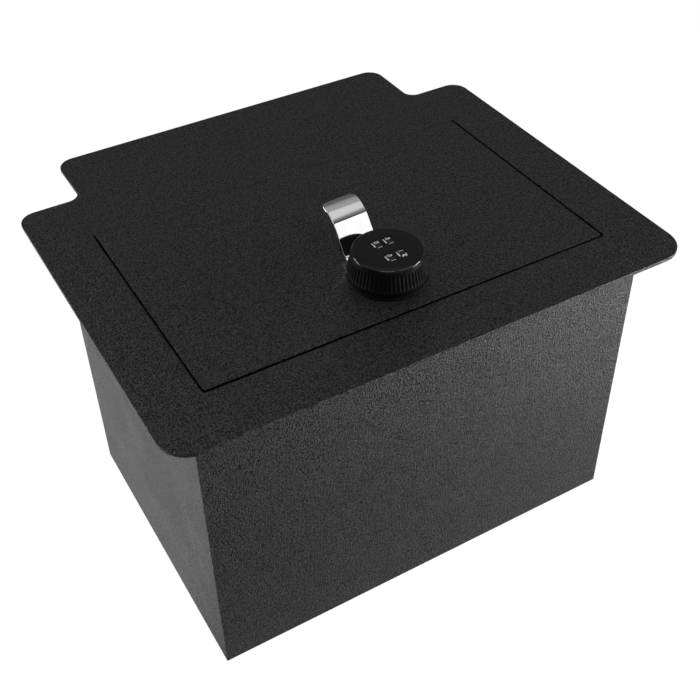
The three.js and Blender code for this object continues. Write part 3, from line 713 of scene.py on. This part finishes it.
def turned_wheel(name, x, y, **how):
    """A wheel about an axle along X: its profile is a rectangle with round edges, carried round
    the axle, with a hole for the axle through it."""
    angle = np.linspace(0, 2 * np.pi, 97)[:-1]
    roll = np.linspace(0, np.pi / 2, 5)
    edge_r = WHEEL_RADIUS - WHEEL_EDGE + WHEEL_EDGE * np.sin(roll)
    edge_x = WHEEL_HALF - WHEEL_EDGE + WHEEL_EDGE * np.cos(roll)
    side_r = np.array([WHEEL_BORE, WHEEL_RADIUS - 2 * WHEEL_EDGE])
    side_x = np.array([WHEEL_HALF, WHEEL_HALF])
    radius = np.concatenate([side_r, edge_r, edge_r[::-1], side_r[::-1]])
    across = np.concatenate([side_x, edge_x, -edge_x[::-1], -side_x])
    points = np.stack(
        [
            np.broadcast_to(x + across, (len(angle), len(across))),
            LOCK_Y + y + radius * np.sin(angle)[:, None],
            AXLE_Z + radius * np.cos(angle)[:, None],
        ],
        2,
    )
    return surface(name, points, **how)


def number_paint():
    """White paint with a fine grain."""
    material, tree, shader = new_material("number_paint")
    tone = ramp(
        tree, mottle(tree, 1500, 2), [(0.3, (0.8, 0.8, 0.79, 1)), (0.7, (0.9, 0.9, 0.89, 1))]
    )
    tree.links.new(tone, shader.inputs["Base Color"])
    shader.inputs["Roughness"].default_value = 0.5
    return material


def numbers(name, x, y, turn, **how):
    """Eight numerals wrapped on the wheel, lying on their sides: a numeral's width becomes an angle
    about the axle, its height lies along the axle, and each is an eighth of a turn in front of the
    one before it. The flat numeral is first cut into narrow strips, so that it bends smoothly."""
    work = bmesh.new()
    for i in range(NUMERALS):
        text = bpy.data.curves.new("numeral", "FONT")
        text.body = str(i)
        text.size = NUMERAL_SIZE
        text.align_x = "CENTER"
        text.align_y = "CENTER"
        text.offset = NUMERAL_STROKE
        text.extrude = NUMERAL_RELIEF
        text.resolution_u = 6
        holder = bpy.data.objects.new("numeral", text)
        scene.collection.objects.link(holder)
        bpy.context.view_layer.update()
        graph = bpy.context.evaluated_depsgraph_get()
        flat = bpy.data.meshes.new_from_object(holder.evaluated_get(graph))
        one = bmesh.new()
        one.from_mesh(flat)
        for strip in STRIP_CUTS:
            geom = one.verts[:] + one.edges[:] + one.faces[:]
            bmesh.ops.bisect_plane(one, geom=geom, plane_co=(strip, 0, 0), plane_no=(1, 0, 0))
        one.to_mesh(flat)
        one.free()
        spots = np.zeros(len(flat.vertices) * 3, np.float32)
        flat.vertices.foreach_get("co", spots)
        spots = spots.reshape(-1, 3).astype(float)
        middle = (spots[:, :2].min(0) + spots[:, :2].max(0)) / 2
        along_rim = (spots[:, 0] - middle[0]) * NUMERAL_STRETCH
        angle = np.radians(turn - 360 / NUMERALS * i) + along_rim / WHEEL_RADIUS
        radius = WHEEL_RADIUS + NUMERAL_SEAT + spots[:, 2]
        placed_x = x - (spots[:, 1] - middle[1])
        placed_y = LOCK_Y + y + radius * np.sin(angle)
        placed = np.stack([placed_x, placed_y, AXLE_Z + radius * np.cos(angle)], 1)
        flat.vertices.foreach_set("co", (placed * MM).astype(np.float32).ravel())
        work.from_mesh(flat)
        bpy.data.objects.remove(holder)
    mesh = bpy.data.meshes.new(name)
    work.to_mesh(mesh)
    work.free()
    made = finished(name, mesh, **how)
    mesh.set_sharp_from_angle(angle=CREASE)
    return made


paint = number_paint()
for i, ((x, y), turn) in enumerate(zip(wheel_places, WHEEL_TURNS), 1):
    body = f"wheel_{i}"
    turned_wheel(
        f"wheel_{i}_rim",
        x,
        y,
        material=wheel_black,
        body=body,
        replaces=[f"number_wheel_{i}"],
        slot="gloss_black",
    )
    numbers(f"wheel_{i}_numbers", x, y, turn, material=paint, body=body)


# Window marks: a thin white bar let into the cap at the left side of each window, with slightly
# rounded upper edges, a hair proud of the top. Each bar is a painted highlight, standing in for the
# light caught along the left edge of its window.
MARK_WIDTH = 0.8
MARK_GAP = 0.05
MARK_FRONT = -2.4
MARK_REAR = 2.6
MARK_DEPTH = 0.3
MARK_PROUD = 0.02
MARK_EDGE = 0.05


def bar(name, low, high, **how):
    """A slab between two corners: its section across X is the same at both ends, and each end runs
    in to its middle."""
    (x0, y0, z0), (x1, y1, z1) = low, high
    x = np.array([x0, x0, x0 + MARK_EDGE, x1 - MARK_EDGE, x1, x1])
    z = np.array([z0, z1 - MARK_EDGE, z1, z1, z1 - MARK_EDGE, z0])
    y = np.array([y0, y0, y1, y1])
    points = np.stack(np.broadcast_arrays(x, y[:, None], z), 2)
    points[0] = points[0].mean(0)
    points[3] = points[3].mean(0)
    return surface(name, points, closed_along=False, **how)


for i, (x, y) in enumerate(wheel_places, 1):
    # Painted highlight: a white bar along the window's left edge
    right = x - WINDOW_WIDTH / 2 - MARK_GAP
    bar(
        f"window_painted_highlight_{i}",
        (right - MARK_WIDTH, LOCK_Y + y + MARK_FRONT, KNOB_TOP - MARK_DEPTH),
        (right, LOCK_Y + y + MARK_REAR, KNOB_TOP + MARK_PROUD),
        material=paint,
        body="knob",
    )


# Floor: a wide pale floor, in metres, that keeps the safe's shadow. The camera sees most of it as
# plain white. Mirror rays see a sweep that is dark in front of the safe and pale behind it.
FLOOR_HALF = 9
FLOOR_COLOUR = (0.86, 0.86, 0.86, 1)
FLOOR_GLOW = 1.08
SWEEP_FRONT = -0.22
SWEEP_BACK = -0.06
SWEEP_DARK = 0.07
SWEEP_PALE = 0.69
SEEN_SHARE = 0.9
MIRRORED_SHARE = 0.85


def pale_floor():
    """Diffuse grey, mixed in turn with a glow for each kind of ray that is to see it bright."""
    material = bpy.data.materials.new("pale_floor")
    material.use_nodes = True
    tree = material.node_tree
    tree.nodes.clear()
    link = tree.links.new
    rays = add_node(tree, "ShaderNodeLightPath")
    plan = add_node(tree, "ShaderNodeSeparateXYZ")
    link(add_node(tree, "ShaderNodeTexCoord").outputs["Object"], plan.inputs[0])
    depth = add_node(tree, "ShaderNodeMapRange", From_Min=SWEEP_FRONT, From_Max=SWEEP_BACK)
    link(plan.outputs["Y"], depth.inputs["Value"])
    sweep = ramp(tree, depth.outputs["Result"], [(0, SWEEP_DARK), (1, SWEEP_PALE)])
    look = add_node(tree, "ShaderNodeBsdfDiffuse", Color=FLOOR_COLOUR).outputs[0]
    for ray, colour, share in (
        ("Is Camera Ray", None, SEEN_SHARE),
        ("Is Transmission Ray", None, SEEN_SHARE),
        ("Is Glossy Ray", sweep, MIRRORED_SHARE),
    ):
        weight = add_node(tree, "ShaderNodeMath", operation="MULTIPLY")
        weight.inputs[1].default_value = share
        link(rays.outputs[ray], weight.inputs[0])
        glow = add_node(tree, "ShaderNodeEmission", Color=(1, 1, 1, 1), Strength=FLOOR_GLOW)
        if colour:
            link(colour, glow.inputs["Color"])
        mixed = add_node(tree, "ShaderNodeMixShader")
        link(weight.outputs[0], mixed.inputs[0])
        link(look, mixed.inputs[1])
        link(glow.outputs[0], mixed.inputs[2])
        look = mixed.outputs[0]
    link(look, add_node(tree, "ShaderNodeOutputMaterial").inputs[0])
    return material


corners = FLOOR_HALF * np.array([(-1, -1, 0), (1, -1, 0), (1, 1, 0), (-1, 1, 0)])
floor_mesh = bpy.data.meshes.new("floor")
floor_mesh.from_pydata(corners.tolist(), [], [(0, 1, 2, 3)])
floor_mesh.materials.append(pale_floor())
floor = bpy.data.objects.new("floor", floor_mesh)
scene.collection.objects.link(floor)


# Light: one low panel behind on the left and two on the right graze the walls and edges, a soft
# one overhead lights the numerals, and two cards at the front right make the pull's bright bands.
def panel_light(name, place, aim, width, height, power):
    """A rectangular lamp at a place, turned to a point; metres and watts."""
    lamp = bpy.data.lights.new(name, "AREA")
    lamp.shape = "RECTANGLE"
    lamp.size = width
    lamp.size_y = height
    lamp.energy = power
    made = bpy.data.objects.new(name, lamp)
    made.location = place
    made.rotation_euler = (Vector(aim) - Vector(place)).to_track_quat("-Z", "Y").to_euler()
    scene.collection.objects.link(made)


panel_light("back_left_light", (-1.15, 1.0, 0.34), (0, 0, 0.12), 0.7, 0.3, 10)
panel_light("overhead_front_light", (-0.45, -0.8, 1.3), (0, -0.05, 0.2), 0.8, 0.8, 4.5)
panel_light("right_light", (1.0, -0.6, 0.3), (0.1, -0.1, 0.12), 0.4, 0.3, 8)
panel_light("right_low_light", (0.55, -0.47, 0.13), (0.16, -0.14, 0.1), 0.3, 0.2, 4.2)
panel_light("front_right_card", (0.52, -1.05, 0.95), (0, -0.08, 0.26), 0.9, 0.66, 2.6)
panel_light("front_right_upper_card", (0.42, -0.37, 1.44), (0, -0.08, 0.26), 1.1, 0.42, 0.5)


# Room: the camera sees it white. To all other rays it is a dim studio, paler near the floor and
# overhead, and almost dark on the camera's side.
SKY_BY_HEIGHT = [(0.0, 0.3), (0.16, 0.25), (0.35, 0.12), (0.66, 0.12), (0.78, 0.4), (1.0, 0.56)]
ROOM_SIDE = (-0.4, -0.92, 0)
ROOM_BY_SIDE = [(0.0, 1.0), (0.15, 0.8), (0.33, 0.15), (0.9, 0.1)]
world = bpy.data.worlds.new("studio")
scene.world = world
world.use_nodes = True
tree = world.node_tree
link = tree.links.new
room = tree.nodes["Background"]
direction = add_node(tree, "ShaderNodeTexCoord").outputs["Generated"]
height = add_node(tree, "ShaderNodeSeparateXYZ")
link(direction, height.inputs[0])
link(ramp(tree, height.outputs["Z"], SKY_BY_HEIGHT), room.inputs["Color"])
toward = add_node(tree, "ShaderNodeVectorMath", operation="DOT_PRODUCT")
toward.inputs[1].default_value = ROOM_SIDE
link(direction, toward.inputs[0])
link(ramp(tree, toward.outputs["Value"], ROOM_BY_SIDE), room.inputs["Strength"])
seen = add_node(tree, "ShaderNodeBackground", Color=(1, 1, 1, 1), Strength=1)
pick = add_node(tree, "ShaderNodeMixShader")
link(add_node(tree, "ShaderNodeLightPath").outputs["Is Camera Ray"], pick.inputs[0])
link(room.outputs[0], pick.inputs[1])
link(seen.outputs[0], pick.inputs[2])
link(pick.outputs[0], tree.nodes["World Output"].inputs["Surface"])
